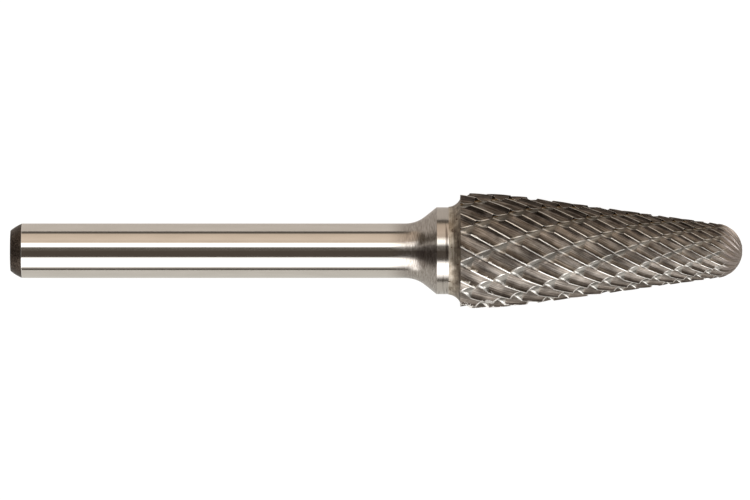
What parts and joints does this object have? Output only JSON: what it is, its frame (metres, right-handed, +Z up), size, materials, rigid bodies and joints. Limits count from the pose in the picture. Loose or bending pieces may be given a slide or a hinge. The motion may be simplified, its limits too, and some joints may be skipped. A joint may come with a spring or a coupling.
{
  "type": "carbide burr",
  "caption": "Tapered, round-nosed rotary burr with a double-cut carbide head brazed to a plain cylindrical steel shank.",
  "frame": {"origin": "centre of the shank's flat end face", "axes": "+X along the axis from the shank's end to the nose of the head, +Z up"},
  "size_m": [0.0804, 0.0126, 0.0126],
  "materials": {
    "shank_steel": "centreless ground, bright",
    "braze_alloy": "as brazed, dull golden brown",
    "tungsten_carbide": "sintered and diamond ground"
  },
  "bodies": {
    "root": {"shank": "shank_steel", "braze_joint": "braze_alloy", "cutting_head": "tungsten_carbide"}
  },
  "joints": []
}
